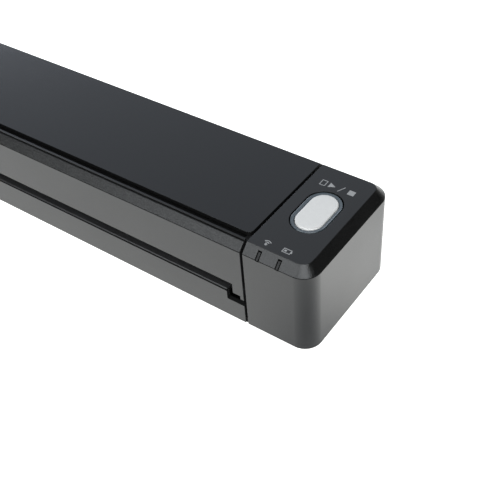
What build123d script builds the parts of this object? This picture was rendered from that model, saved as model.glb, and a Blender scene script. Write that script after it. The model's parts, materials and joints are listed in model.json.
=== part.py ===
from build123d import *
import os
from math import cos, pi, radians, sin, sqrt

# Portable sheet-fed document scanner, in millimetres.
# +X is to the right seen from the front, the front faces -Y, +Z is up.
# The origin is at the middle of the footprint, on the surface that the feet stand on.
# Section places are given as (distance behind the front face, height above the housing's bottom).

os.makedirs("parts", exist_ok=True)

# Overall size
length = 273.0
depth = 47.5
height = 36.0
foot_height = 2.3
edge_chamfer = 2.9
corner_radius = 6.0

# End caps and the gap beside them
cap_length = 23.4
side_gap = 1.0
wall = 1.6
end_wall = 1.5
seam = 0.25
lip_depth = 2.0
lip_wall = 1.0
fit = 0.1
clear = 0.3
touch = 0.05

# Front bands
band_height = 10.9
slot_height = 4.4
guide_skin = 1.8
ear_width = 4.1
ear_drop = 3.9
leg_width = 1.3
leg_drop = 1.4
notch_width = 6.5
notch_floor = 7.6
notch_back = 5.6
web_inset = 0.8
web_low = 0.3
web_high = 3.0
door_axis_in = 3.0
door_axis_up = 12.0
door_pin = 0.9
barrel_radius = 1.8

# Top cover
trim_rise = 2.45
trim_back = 2.75
rail_front = 3.0
rail_back = 3.7
finger_gap = 2.3
tray_drop = 3.1
tray_skin = 1.5
tray_from_back = 9.0
chute_lean = 2.1
chute_low = 19.6
front_wall_gap = 0.3
cover_floor = 13.6
mouth_top = 15.0
rear_wall = 1.0
cover_axis_from_back = 3.1
cover_axis_up = 16.5
cover_pin = 1.2

# Output guide
panel_skin = 1.4
panel_rear_bevel = 1.0
panel_corner = 1.8
panel_axis_from_back = 4.6
panel_axis_drop = 1.6
panel_boss = 1.4
panel_pin = 0.7
lug_length = 3.2
rib_pitch = 26.0
rib_count = 7
rib_width = 1.2
rib_height = 1.2
sweep_radius = 3.75

# Paper path
guide_plate = 1.4
lip_front = 0.45
lip_rise = 0.5
lip_round = 0.2
lip_back = 2.6
lip_ramp = 0.8
paper_gap = 2.1
upper_front = 5.2
roller_spacing = 23.0
path_forward = 0.25
roller_radius = 3.8
roller_proud = 0.7
shaft_radius = 1.5
pinch_radius = 3.6
pinch_shaft = 0.9
upright_from_end = 22.55
upright_thickness = 1.6
spring_skin = 0.3
spring_width = 2.0
spring_foot = 1.6
spring_reach = 6.0
spring_rise = 1.5
spring_press = 1.5
spring_lean = 0.2
bow_half = 5.0
bow_foot = 2.0
pinch_gap = 0.3
roller_length = 18.0
roller_end_gap = 4.0
window_room = 1.0
running = 0.04

# Image sensor
sensor_width = 13.0
sensor_height = 8.6
sensor_end_gap = 2.05
sensor_board_length = 108.5
pad_from_sensor = 4.0
glass_thickness = 1.0
pad_thickness = 0.6

# Side plates and bushes
plate_thickness = 1.0
plate_inset = 2.9
bush_radius = 2.6
bush_length = 2.0
bush_flange = 3.4
flange_thickness = 0.8

# Drive
gear_thickness = 3.0
drive_tip = 5.4
idler_tip = 7.0
wheel_tip = 8.0
small_tip = 3.4
pinion_tip = 2.2
tooth_depth = 0.9
mesh_gap = 0.15
post_radius = 1.0
motor_radius = 8.4
motor_axle = 0.75
gear_plate_thickness = 1.0
gear_space = 0.5
wheel_thickness = 2.0
wheel_lean = 30.0
motor_length = 10.8
motor_boss = 2.9
spacer_radius = 1.5

# Button, light ring and light pipes
button_behind_middle = 0.45
button_from_side = 13.0
button_width = 9.6
button_length = 17.4
button_sunk = 0.2
button_travel = 0.8
ring_width = 1.0
ring_sunk = 0.35
ring_depth = 4.4
ring_flange = 1.2
ring_gap = 0.15
hole_gap = 0.25
button_depth = 6.4
plunger_radius = 1.5
pipe_width = 0.75
pipe_gap = 0.3
pipe_top_in = 2.15
pipe_foot = 0.15
pipe_leg_in = 2.9
pipe_leg = 1.0
wireless_pipe_from_side = 18.25
battery_pipe_from_side = 11.35

# Boards, port and switches
board_thickness = 1.2
board_in = 2.2
board_from_back = 9.5
control_width = 12.4
control_shift = 0.7
post_ahead = 13.7
post_behind = 12.2
post_span = 9.4
main_in = 6.0
main_from_back = 5.5
module_margin = 2.0
module_width = 14.0
module_height = 10.0
module_thickness = 2.0
switch_size = 6.0
switch_height = 3.4
switch_stem = 1.0
led_size = 1.6
led_height = 0.8
port_width = 7.6
port_height = 2.9
port_depth = 5.4
port_from_side = 14.5
port_up = 5.0
knob_width = 4.0
knob_height = 2.2
knob_sunk = 0.2
knob_travel = 2.0
knob_from_side = 13.0
knob_up = 15.0
pairing_radius = 1.6
knob_flange = 0.8
switch_body = 2.4
switch_margin = 1.0
rear_board_half = 4.6
rear_board_low = 10.0
rear_board_high = 26.0
rear_leg = 1.6
pairing_travel = 0.5
pairing_up = 22.0

# Battery, feet and screws
battery_length = 110.0
battery_width = 13.4
battery_height = 6.6
foot_length = 14.0
foot_width = 6.0
foot_from_end = 14.0
foot_from_front = 6.0
foot_recess = 0.5
screw_radius = 1.25
screw_head = 2.3
screw_head_height = 1.2
screw_length = 7.0
screw_from_end = 27.5
boss_split = 6.0
boss_radius = 3.4
column_radius = 2.2
column_from_side = 4.7

# Paper sensor lever
lever_width = 2.4
lever_in = 5.6
lever_up = 6.4
lever_reach = 6.0
lever_arm = 1.4
lever_pin = 0.7
lever_hub = 1.5
lever_cheek = 1.2

# Derived places
front = -depth / 2
cover_axis_in = depth - cover_axis_from_back
tray_back = depth - tray_from_back
panel_back_edge = depth - edge_chamfer
panel_axis_in = depth - panel_axis_from_back
feed_in = depth / 2 - roller_spacing / 2 - path_forward
eject_in = feed_in + roller_spacing
sensor_in = (feed_in + eject_in) / 2
board_back = depth - board_from_back
button_in = depth / 2 + button_behind_middle
post_front_in = button_in - post_ahead
post_back_in = button_in + post_behind
main_back = depth - main_from_back
base = foot_height
cap_face = length / 2
cap_inner = cap_face - cap_length
mid_half = cap_inner - side_gap
body_top = height - foot_height
chamfer_low = body_top - edge_chamfer
door_low = band_height + slot_height
door_high = chamfer_low - 2 * fit
inner_half = mid_half - end_wall
panel_low = body_top - panel_skin
panel_axis_up = panel_low - panel_axis_drop
panel_front = rail_back + finger_gap
tray_top = body_top - tray_drop
door_back = guide_skin + front_wall_gap
guide_under = band_height - guide_plate
upper_low = band_height + paper_gap
upper_top = upper_low + guide_plate
roller_up = band_height + roller_proud - roller_radius
pinch_up = band_height + roller_proud + pinch_gap + pinch_radius
plate_x = mid_half - plate_inset - plate_thickness
ear_x = mid_half - ear_width
upright_x = inner_half - upright_from_end
roller_span = upright_x - roller_end_gap - roller_length / 2
roller_places = [roller_span * share for share in (-1, -1 / 3, 1 / 3, 1)]
sensor_half = inner_half - sensor_end_gap
button_x = cap_face - button_from_side
hole_width = button_width + 2 * (ring_gap + ring_width + hole_gap)
hole_length = button_length + 2 * (ring_gap + ring_width + hole_gap)


def at(inward, up):
    """A section point as (Y, Z) in the part's frame."""
    return (front + inward, base + up)


def above(up):
    """The level plane at a height above the housing's bottom."""
    return Plane.XY.offset(base + up)


def facing(inward):
    """The upright plane at a distance behind the front face, looking forward."""
    return Plane.XZ.offset(-front - inward)


def cap_plan(side, inset):
    """Plan of one end cap with its two outer corners rounded, drawn in by inset."""
    with BuildSketch() as plan:
        with Locations((side * (cap_face - cap_length / 2), 0)):
            Rectangle(cap_length - 2 * inset, depth - 2 * inset)
        corners = plan.vertices().sort_by(Axis.X)
        outer = corners[-2:] if side > 0 else corners[:2]
        fillet(outer, corner_radius - inset)
    return plan.sketch


def section(*points):
    """Closed outline through section points."""
    with BuildSketch() as outline:
        with BuildLine():
            Polyline(*[at(*point) for point in points], close=True)
        make_face()
    return outline.sketch


def rect(inward_a, inward_b, up_a, up_b):
    """Rectangle in the section plane between two depths and two heights."""
    return section((inward_a, up_a), (inward_b, up_a), (inward_b, up_b), (inward_a, up_b))


def disc(inward, up, radius):
    """Round in the section plane."""
    with BuildSketch() as outline:
        with Locations(at(inward, up)):
            Circle(radius)
    return outline.sketch


def tooth_count(tip):
    """Teeth of a gear of this tip radius, all gears having one pitch."""
    return round(pi * tip / tooth_depth)


def toothed(inward, up, tip, turn=0.0):
    """Spur gear outline: teeth of even pitch round a root circle."""
    count = tooth_count(tip)
    root = tip - tooth_depth
    tooth = root * pi / count
    with BuildSketch() as outline:
        with Locations(at(inward, up)):
            Circle(root)
            with PolarLocations(0, count, start_angle=turn):
                with Locations((root + tooth_depth / 2 - fit, 0)):
                    Rectangle(tooth_depth + fit, tooth * 0.8)
    return outline.sketch


tub_screws = [(-mid_half + screw_from_end, 0), (mid_half - screw_from_end, 0)]
column_x = cap_face - column_from_side
cap_screws = [(column_x, front + corner_radius), (column_x, -front - corner_radius)]
left_cap_screws = [(-x, y) for x, y in cap_screws]


# Housing

# Middle tub: floor, low front band with a notch at each end, rear band, end walls
# and low webs that bridge the gaps to the caps
with BuildPart() as base_housing:
    with BuildSketch(Plane.YZ):
        add(rect(0, depth, 0, band_height))
    extrude(amount=mid_half, both=True)
    with BuildSketch(Plane.YZ):
        add(rect(wall, depth - wall, wall, band_height + wall))
    extrude(amount=inner_half, both=True, mode=Mode.SUBTRACT)
    for side in (-1, 1):
        with BuildSketch(Plane.YZ.offset(side * (mid_half - notch_width))):
            add(rect(-wall, notch_back, notch_floor, band_height + wall))
        extrude(amount=side * (notch_width + wall), mode=Mode.SUBTRACT)
        with BuildSketch(Plane.YZ.offset(side * mid_half)):
            add(rect(web_inset, depth - web_inset, web_low, web_high))
        extrude(amount=side * (side_gap - touch))
    with BuildSketch(Plane.YZ.offset(-mid_half - wall)):
        for inward in (feed_in, eject_in):
            add(disc(inward, roller_up, shaft_radius + clear))
    extrude(amount=2 * wall + end_wall, mode=Mode.SUBTRACT)
    with BuildSketch(above(0)):
        with GridLocations(2 * (mid_half - foot_from_end), depth - 2 * foot_from_front, 2, 2):
            Rectangle(foot_length + 2 * fit, foot_width + 2 * fit)
    extrude(amount=foot_recess, mode=Mode.SUBTRACT)
    with BuildSketch(above(wall)):
        with Locations(*tub_screws):
            Circle(boss_radius)
    extrude(amount=boss_split - wall - touch)
    with BuildSketch(above(0)):
        with Locations(*tub_screws):
            Circle(screw_radius + fit)
    extrude(amount=boss_split, mode=Mode.SUBTRACT)
    with BuildSketch(above(0)):
        with Locations(*tub_screws):
            Circle(screw_head + fit)
    extrude(amount=screw_head_height + fit, mode=Mode.SUBTRACT)
    for side in (-1, 1):
        with BuildSketch(Plane.YZ.offset(side * (lever_width / 2 + clear))):
            add(rect(lever_in - lever_hub, lever_in + lever_hub, wall, lever_up + lever_hub))
            add(disc(lever_in, lever_up, lever_pin + running), mode=Mode.SUBTRACT)
        extrude(amount=side * lever_cheek)
base_housing.part.label = "base_housing"
export_step(base_housing.part, "parts/base_housing.step")

# End housings: open-topped caps with a bulkhead towards the middle
cap_rim = chamfer_low - seam
pipe_places = [cap_face - wireless_pipe_from_side, cap_face - battery_pipe_from_side]
port_x = cap_face - port_from_side
knob_x = cap_face - knob_from_side
slot_half = knob_width / 2 + knob_travel + fit


def cap_shell(side, screws):
    """Open-topped cap with screw bosses that rise from its floor."""
    with BuildPart() as shell:
        with BuildSketch(above(0)):
            add(cap_plan(side, 0))
        extrude(amount=cap_rim)
        with BuildSketch(above(wall)):
            add(cap_plan(side, wall))
        extrude(amount=cap_rim, mode=Mode.SUBTRACT)
        with BuildSketch(above(wall)):
            with Locations(*screws):
                Circle(boss_radius - fit)
        extrude(amount=boss_split - wall - touch)
        with BuildSketch(above(0)):
            with Locations(*screws):
                Circle(screw_radius + fit)
        extrude(amount=boss_split, mode=Mode.SUBTRACT)
        with BuildSketch(above(0)):
            with Locations(*screws):
                Circle(screw_head + fit)
        extrude(amount=screw_head_height + fit, mode=Mode.SUBTRACT)
    return shell.part


with BuildPart() as right_end_housing:
    add(cap_shell(1, cap_screws))
    with BuildSketch(Plane.YZ.offset(cap_inner - wall)):
        add(disc(door_axis_in, door_axis_up, door_pin + touch))
        add(disc(cover_axis_in, cover_axis_up, cover_pin + touch))
    extrude(amount=3 * wall, mode=Mode.SUBTRACT)
    for place in pipe_places:
        with BuildSketch(Plane.YZ.offset(place - pipe_width / 2 - pipe_gap)):
            add(rect(-wall, wall + fit, chamfer_low - pipe_foot - pipe_gap, chamfer_low))
        extrude(amount=pipe_width + 2 * pipe_gap, mode=Mode.SUBTRACT)
    with BuildSketch(facing(depth)):
        with Locations((port_x, base + port_up)):
            RectangleRounded(port_width + 2 * fit, port_height + 2 * fit, port_height / 3)
        with Locations((knob_x, base + knob_up)):
            Rectangle(2 * slot_half, knob_height + 2 * fit)
        with Locations((knob_x, base + pairing_up)):
            Circle(pairing_radius + fit)
    extrude(amount=wall + fit, both=True, mode=Mode.SUBTRACT)
right_end_housing.part.label = "right_end_housing"
export_step(right_end_housing.part, "parts/right_end_housing.step")

with BuildPart() as left_end_housing:
    add(cap_shell(-1, left_cap_screws))
    with BuildSketch(Plane.YZ.offset(wall - cap_inner)):
        add(disc(door_axis_in, door_axis_up, door_pin + touch))
        add(disc(cover_axis_in, cover_axis_up, cover_pin + touch))
        for inward in (feed_in, eject_in):
            add(disc(inward, roller_up, shaft_radius + clear))
    extrude(amount=-3 * wall, mode=Mode.SUBTRACT)
left_end_housing.part.label = "left_end_housing"
export_step(left_end_housing.part, "parts/left_end_housing.step")

# Cap lids: chamfered tops with a lip that drops inside the housing
lip_inset = wall + fit
hollow_inset = lip_inset + lip_wall


def cap_lid(side, screws):
    """Top shell of one cap, chamfered on its three outer sides, with two screw columns."""
    with BuildPart() as lid:
        with BuildSketch(above(chamfer_low - lip_depth)):
            add(cap_plan(side, 0))
        extrude(amount=lip_depth + edge_chamfer)
        rim = lid.faces().sort_by(Axis.Z)[-1].edges()
        chamfer([edge for edge in rim if abs(edge.center().X) > cap_inner + fit], edge_chamfer)
        with BuildSketch(above(chamfer_low - lip_depth)):
            add(cap_plan(side, 0))
            add(cap_plan(side, lip_inset), mode=Mode.SUBTRACT)
        extrude(amount=lip_depth, mode=Mode.SUBTRACT)
        with BuildSketch(above(chamfer_low - lip_depth)):
            add(cap_plan(side, hollow_inset))
        extrude(amount=lip_depth + edge_chamfer - wall, mode=Mode.SUBTRACT)
        with BuildSketch(above(boss_split)):
            with Locations(*screws):
                Circle(column_radius)
        extrude(amount=body_top - wall - boss_split)
        with BuildSketch(above(boss_split)):
            with Locations(*screws):
                Circle(screw_radius + touch)
        extrude(amount=screw_length, mode=Mode.SUBTRACT)
    return lid.part


with BuildPart() as button_panel:
    add(cap_lid(1, cap_screws))
    with BuildSketch(above(0)):
        with Locations((button_x, front + button_in)):
            SlotOverall(hole_length, hole_width, rotation=90)
    extrude(amount=height, mode=Mode.SUBTRACT)
    for place in pipe_places:
        with BuildSketch(Plane.YZ.offset(place - pipe_width / 2 - pipe_gap)):
            add(
                section(
                    (-wall, chamfer_low - pipe_foot),
                    (-wall, body_top),
                    (pipe_top_in, body_top),
                    (pipe_top_in, chamfer_low + pipe_top_in),
                    (pipe_leg_in + pipe_leg + clear, chamfer_low + pipe_foot),
                    (pipe_leg_in + pipe_leg + clear, chamfer_low - lip_depth - fit),
                    (lip_inset - fit, chamfer_low - lip_depth - fit),
                    (lip_inset - fit, chamfer_low - pipe_foot),
                )
            )
        extrude(amount=pipe_width + 2 * pipe_gap, mode=Mode.SUBTRACT)
button_panel.part.label = "button_panel"
export_step(button_panel.part, "parts/button_panel.step")

with BuildPart() as left_top_panel:
    add(cap_lid(-1, left_cap_screws))
left_top_panel.part.label = "left_top_panel"
export_step(left_top_panel.part, "parts/left_top_panel.step")

# Light ring round the button, with a flange under the panel
ring_top = body_top - ring_sunk
ring_low = ring_top - ring_depth
ring_outer_width = button_width + 2 * (ring_gap + ring_width)
ring_outer_length = button_length + 2 * (ring_gap + ring_width)
with BuildPart() as button_light_ring:
    with BuildSketch(above(ring_low)):
        with Locations((button_x, front + button_in)):
            SlotOverall(ring_outer_length, ring_outer_width, rotation=90)
    extrude(amount=ring_depth)
    with BuildSketch(above(body_top - wall - fit)):
        with Locations((button_x, front + button_in)):
            SlotOverall(hole_length + ring_flange, hole_width + ring_flange, rotation=90)
    extrude(amount=-ring_flange)
    with BuildSketch(above(ring_low)):
        with Locations((button_x, front + button_in)):
            SlotOverall(button_length + 2 * ring_gap, button_width + 2 * ring_gap, rotation=90)
    extrude(amount=ring_depth, mode=Mode.SUBTRACT)
button_light_ring.part.label = "button_light_ring"
export_step(button_light_ring.part, "parts/button_light_ring.step")

# Push button with a flange below the ring and a plunger over the switch
button_top = body_top - button_sunk
button_low = button_top - button_depth
with BuildPart() as scan_button:
    with BuildSketch(above(button_low)):
        with Locations((button_x, front + button_in)):
            SlotOverall(button_length, button_width, rotation=90)
    extrude(amount=button_depth)
    chamfer(scan_button.faces().sort_by(Axis.Z)[-1].edges(), clear)
    with BuildSketch(above(button_low)):
        with Locations((button_x, front + button_in)):
            SlotOverall(ring_outer_length, ring_outer_width, rotation=90)
    extrude(amount=wall - clear)
    with BuildSketch(above(button_low)):
        with Locations((button_x, front + button_in)):
            Circle(plunger_radius)
    extrude(amount=-wall)
scan_button.part.label = "scan_button"
export_step(scan_button.part, "parts/scan_button.step")

# Boards under the panel and behind the bulkhead
plunger_low = button_low - wall
switch_top = plunger_low - button_travel - touch
control_top = switch_top - switch_height
control_x = button_x - control_shift
post_places = [
    (control_x + side * post_span / 2, front + inward)
    for side in (-1, 1)
    for inward in (post_front_in, post_back_in)
]
with BuildPart() as control_board:
    with BuildSketch(above(control_top)):
        with Locations((control_x, front + (board_in + board_back) / 2)):
            Rectangle(control_width, board_back - board_in)
        with Locations(*post_places):
            Circle(screw_radius, mode=Mode.SUBTRACT)
    extrude(amount=-board_thickness)
control_board.part.label = "control_board"
export_step(control_board.part, "parts/control_board.step")

# Posts that hang the control board from the panel
with BuildPart() as board_posts:
    with BuildSketch(above(control_top - board_thickness)):
        with Locations(*post_places):
            Circle(screw_radius - touch)
    extrude(amount=body_top - wall - control_top + board_thickness)
board_posts.part.label = "board_posts"
export_step(board_posts.part, "parts/board_posts.step")

with BuildPart() as button_switch:
    with BuildSketch(above(control_top)):
        with Locations((button_x, front + button_in)):
            Rectangle(switch_size, switch_size)
    extrude(amount=switch_height - switch_stem)
    with BuildSketch(above(control_top)):
        with Locations((button_x, front + button_in)):
            Circle(plunger_radius)
    extrude(amount=switch_height)
button_switch.part.label = "button_switch"
export_step(button_switch.part, "parts/button_switch.step")

# Light pipes from the chamfer down to their lamps
pipe_low = control_top + led_height + fit
pipe_reach = pipe_leg_in + pipe_leg


def light_pipe(place):
    """Bent clear strip that shows at the chamfer and stands over its lamp."""
    with BuildPart() as pipe:
        with BuildSketch(Plane.YZ.offset(place - pipe_width / 2)):
            add(
                section(
                    (0, chamfer_low - pipe_foot),
                    (0, chamfer_low),
                    (pipe_top_in - pipe_gap, chamfer_low + pipe_top_in - pipe_gap),
                    (pipe_reach, chamfer_low + pipe_foot),
                    (pipe_reach, pipe_low),
                    (pipe_leg_in, pipe_low),
                    (pipe_leg_in, chamfer_low - pipe_foot),
                )
            )
        extrude(amount=pipe_width)
    return pipe.part


with BuildPart() as wireless_light_pipe:
    add(light_pipe(pipe_places[0]))
wireless_light_pipe.part.label = "wireless_light_pipe"
export_step(wireless_light_pipe.part, "parts/wireless_light_pipe.step")

with BuildPart() as battery_light_pipe:
    add(light_pipe(pipe_places[1]))
battery_light_pipe.part.label = "battery_light_pipe"
export_step(battery_light_pipe.part, "parts/battery_light_pipe.step")

lamp_front = front + pipe_leg_in + pipe_leg / 2
with BuildPart() as status_lamps:
    with BuildSketch(above(control_top)):
        with Locations(*[(place, lamp_front) for place in pipe_places]):
            Rectangle(led_size, led_size)
    extrude(amount=led_height)
status_lamps.part.label = "status_lamps"
export_step(status_lamps.part, "parts/status_lamps.step")

# Main board, standing beside the right bulkhead on the housing floor
main_x = cap_inner + wall + 4 * clear
main_top = control_top - board_thickness - wall
with BuildPart() as main_board:
    with BuildSketch(Plane.YZ.offset(main_x)):
        add(rect(main_in, main_back, wall, main_top))
    extrude(amount=board_thickness)
main_board.part.label = "main_board"
export_step(main_board.part, "parts/main_board.step")

with BuildPart() as wireless_module:
    with BuildSketch(Plane.YZ.offset(main_x + board_thickness)):
        add(
            rect(
                main_in + module_margin,
                main_in + module_margin + module_width,
                main_top - module_margin - module_height,
                main_top - module_margin,
            )
        )
    extrude(amount=module_thickness)
wireless_module.part.label = "wireless_module"
export_step(wireless_module.part, "parts/wireless_module.step")

# Connector at the rear, carried by a small board fixed to the floor
port_rear = depth - 2 * fit
with BuildPart() as usb_port:
    with BuildSketch(facing(port_rear)):
        with Locations((port_x, base + port_up)):
            RectangleRounded(port_width, port_height, port_height / 3)
    extrude(amount=port_depth)
    with BuildSketch(facing(port_rear)):
        with Locations((port_x, base + port_up)):
            RectangleRounded(port_width - 2 * clear, port_height - 2 * clear, port_height / 4)
            Rectangle(port_width - 6 * clear, clear, mode=Mode.SUBTRACT)
    extrude(amount=port_depth - clear, mode=Mode.SUBTRACT)
usb_port.part.label = "usb_port"
export_step(usb_port.part, "parts/usb_port.step")

port_mid_y = front + port_rear - wall - port_depth
with BuildPart() as port_board:
    with BuildSketch(above(port_up - port_height / 2)):
        with Locations((port_x, port_mid_y)):
            Rectangle(port_width + 4 * clear, 2 * port_depth - wall - fit)
    extrude(amount=-board_thickness)
    with BuildSketch(above(wall)):
        with Locations((port_x, port_mid_y)):
            with GridLocations(port_width - wall, port_depth, 2, 2):
                Circle(screw_radius)
    extrude(amount=port_up - port_height / 2 - board_thickness - wall)
port_board.part.label = "port_board"
export_step(port_board.part, "parts/port_board.step")

# Slide knob and pairing button through the rear wall, with their switches on one board
knob_rest = knob_x - knob_travel
flange_back = depth - wall - fit
flange_front = flange_back - knob_flange
with BuildPart() as wireless_switch:
    with BuildSketch(facing(depth - knob_sunk)):
        with Locations((knob_rest, base + knob_up)):
            Rectangle(knob_width, knob_height)
    extrude(amount=depth - knob_sunk - flange_front)
    with BuildSketch(facing(flange_back)):
        with Locations((knob_rest, base + knob_up)):
            Rectangle(knob_width, knob_height + 2 * knob_flange)
    extrude(amount=knob_flange)
wireless_switch.part.label = "wireless_switch"
export_step(wireless_switch.part, "parts/wireless_switch.step")

with BuildPart() as pairing_button:
    with BuildSketch(facing(depth - knob_sunk)):
        with Locations((knob_x, base + pairing_up)):
            Circle(pairing_radius)
    extrude(amount=depth - knob_sunk - flange_front)
    with BuildSketch(facing(flange_back)):
        with Locations((knob_x, base + pairing_up)):
            Circle(pairing_radius + knob_flange)
    extrude(amount=knob_flange)
pairing_button.part.label = "pairing_button"
export_step(pairing_button.part, "parts/pairing_button.step")

rear_board_back = flange_front - switch_body - pairing_travel - 2 * fit
with BuildPart() as rear_switch_board:
    with BuildSketch(facing(rear_board_back)):
        with BuildLine():
            Polyline(
                (knob_x - rear_board_half, base + rear_board_low),
                (knob_x + rear_board_half - rear_leg, base + rear_board_low),
                (knob_x + rear_board_half - rear_leg, base + wall),
                (knob_x + rear_board_half, base + wall),
                (knob_x + rear_board_half, base + rear_board_high),
                (knob_x - rear_board_half, base + rear_board_high),
                close=True,
            )
        make_face()
    extrude(amount=board_thickness)
rear_switch_board.part.label = "rear_switch_board"
export_step(rear_switch_board.part, "parts/rear_switch_board.step")

with BuildPart() as rear_switches:
    with BuildSketch(facing(rear_board_back)):
        with Locations((knob_x, base + knob_up)):
            Rectangle(knob_width + 2 * knob_travel + switch_margin, knob_height + switch_margin)
    extrude(amount=-switch_body - pairing_travel)
    with BuildSketch(facing(rear_board_back)):
        with Locations((knob_x, base + pairing_up)):
            Rectangle(2 * pairing_radius + switch_margin, 2 * pairing_radius + switch_margin)
    extrude(amount=-switch_body)
rear_switches.part.label = "rear_switches"
export_step(rear_switches.part, "parts/rear_switches.step")

# Front door that folds down to become the feed tray
with BuildPart() as feed_guide:
    with BuildSketch(Plane.YZ):
        add(rect(0, guide_skin, door_low, door_high))
    extrude(amount=mid_half, both=True)
    for side in (-1, 1):
        with BuildSketch(Plane.YZ.offset(side * ear_x)):
            add(rect(0, guide_skin, door_low - ear_drop, door_low))
            add(disc(door_axis_in, door_axis_up, barrel_radius))
        extrude(amount=side * ear_width)
        with BuildSketch(Plane.YZ.offset(side * (mid_half - leg_width))):
            add(rect(0, guide_skin, door_low - ear_drop - leg_drop, door_low - ear_drop))
        extrude(amount=side * leg_width)
    with BuildSketch(Plane.YZ.offset(-mid_half - wall)):
        add(disc(door_axis_in, door_axis_up, door_pin + running))
    extrude(amount=2 * (mid_half + wall), mode=Mode.SUBTRACT)
feed_guide.part.label = "feed_guide"
export_step(feed_guide.part, "parts/feed_guide.step")

# Steel pins through the gaps beside the middle
pin_end = cap_inner + wall - fit
with BuildPart() as feed_guide_pins:
    for side in (-1, 1):
        with BuildSketch(Plane.YZ.offset(side * (ear_x + clear))):
            add(disc(door_axis_in, door_axis_up, door_pin))
        extrude(amount=side * (pin_end - ear_x - clear))
feed_guide_pins.part.label = "feed_guide_pins"
export_step(feed_guide_pins.part, "parts/feed_guide_pins.step")

with BuildPart() as cover_hinge_pins:
    for side in (-1, 1):
        with BuildSketch(Plane.YZ.offset(side * (inner_half - clear))):
            add(disc(cover_axis_in, cover_axis_up, cover_pin))
        extrude(amount=side * (pin_end - inner_half + clear))
cover_hinge_pins.part.label = "cover_hinge_pins"
export_step(cover_hinge_pins.part, "parts/cover_hinge_pins.step")

# Top cover: front wall and rail, tray, exit chute, rear wall and two end walls
rear_in = depth - rear_wall
rear_top = body_top - edge_chamfer + rear_wall
lid_room = panel_low - 2 * fit
front_low_back = door_axis_in + barrel_radius + wall + clear
with BuildPart() as top_cover:
    with BuildSketch(Plane.YZ):
        add(rect(door_back, rail_back, mouth_top, chamfer_low))
        add(rect(rail_front, rail_back, chamfer_low, body_top))
        add(rect(rail_back, tray_back, tray_top - tray_skin, tray_top))
        add(
            section(
                (tray_back - tray_skin, tray_top - tray_skin),
                (tray_back, tray_top - tray_skin),
                (tray_back + chute_lean, chute_low),
                (tray_back + chute_lean - tray_skin, chute_low),
            )
        )
        add(
            section(
                (rear_in, cover_floor),
                (depth, cover_floor),
                (depth, chamfer_low),
                (rear_in, rear_top),
            )
        )
    extrude(amount=inner_half, both=True)
    for side in (-1, 1):
        with BuildSketch(Plane.YZ.offset(side * inner_half)):
            add(
                section(
                    (door_back, mouth_top),
                    (door_back, chamfer_low),
                    (rail_front, chamfer_low),
                    (rail_front, body_top),
                    (rail_back, body_top),
                    (rail_back, lid_room),
                    (panel_axis_in, lid_room),
                    (panel_axis_in, chamfer_low),
                    (rear_in, chamfer_low),
                    (rear_in, rear_top),
                    (depth, chamfer_low),
                    (depth, cover_floor),
                    (front_low_back, cover_floor),
                    (front_low_back, mouth_top),
                )
            )
            add(disc(panel_axis_in, panel_axis_up, sweep_radius), mode=Mode.SUBTRACT)
            add(rect(panel_axis_in - sweep_radius, panel_axis_in, panel_axis_up - sweep_radius, lid_room))
            add(disc(panel_axis_in, panel_axis_up, panel_boss))
            add(disc(panel_axis_in, panel_axis_up, panel_pin + running), mode=Mode.SUBTRACT)
            add(disc(cover_axis_in, cover_axis_up, cover_pin + running), mode=Mode.SUBTRACT)
        extrude(amount=side * end_wall)
top_cover.part.label = "top_cover"
export_step(top_cover.part, "parts/top_cover.step")

# Textured strip along the cover's front chamfer
with BuildPart() as cover_front_trim:
    with BuildSketch(Plane.YZ):
        add(
            section(
                (0, chamfer_low),
                (trim_rise, chamfer_low + trim_rise),
                (trim_back, chamfer_low + trim_rise),
                (trim_back, chamfer_low),
            )
        )
    extrude(amount=mid_half, both=True)
cover_front_trim.part.label = "cover_front_trim"
export_step(cover_front_trim.part, "parts/cover_front_trim.step")

# Output guide: thin flap over the tray, hinged near the rear edge
lug_end = inner_half - clear
with BuildPart() as output_guide:
    with BuildSketch(above(panel_low)):
        with Locations((0, front + (panel_front + panel_back_edge + panel_rear_bevel) / 2)):
            Rectangle(2 * mid_half, panel_back_edge + panel_rear_bevel - panel_front)
        fillet(vertices().sort_by(Axis.Y)[:2], panel_corner)
    extrude(amount=panel_skin)
    long_edges = output_guide.edges().filter_by(Axis.X)
    chamfer(long_edges.sort_by(Axis.Z)[-2:].sort_by(Axis.Y)[-1], panel_rear_bevel)
    with BuildSketch(above(panel_low)):
        with Locations((0, front + (panel_front + tray_back) / 2)):
            with GridLocations(rib_pitch, 0, rib_count, 1):
                Rectangle(rib_width, tray_back - panel_front - 2 * wall)
    extrude(amount=-rib_height)
    for side in (-1, 1):
        with BuildSketch(Plane.YZ.offset(side * (lug_end - lug_length))):
            add(disc(panel_axis_in, panel_axis_up, panel_boss))
            add(rect(panel_axis_in - panel_boss, panel_axis_in + panel_boss, panel_axis_up, panel_low))
            add(disc(panel_axis_in, panel_axis_up, panel_pin + touch), mode=Mode.SUBTRACT)
        extrude(amount=side * lug_length)
output_guide.part.label = "output_guide"
export_step(output_guide.part, "parts/output_guide.step")

with BuildPart() as output_guide_pins:
    for side in (-1, 1):
        with BuildSketch(Plane.YZ.offset(side * (lug_end - lug_length))):
            add(disc(panel_axis_in, panel_axis_up, panel_pin))
        extrude(amount=side * (mid_half - fit - lug_end + lug_length))
output_guide_pins.part.label = "output_guide_pins"
export_step(output_guide_pins.part, "parts/output_guide_pins.step")

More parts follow.
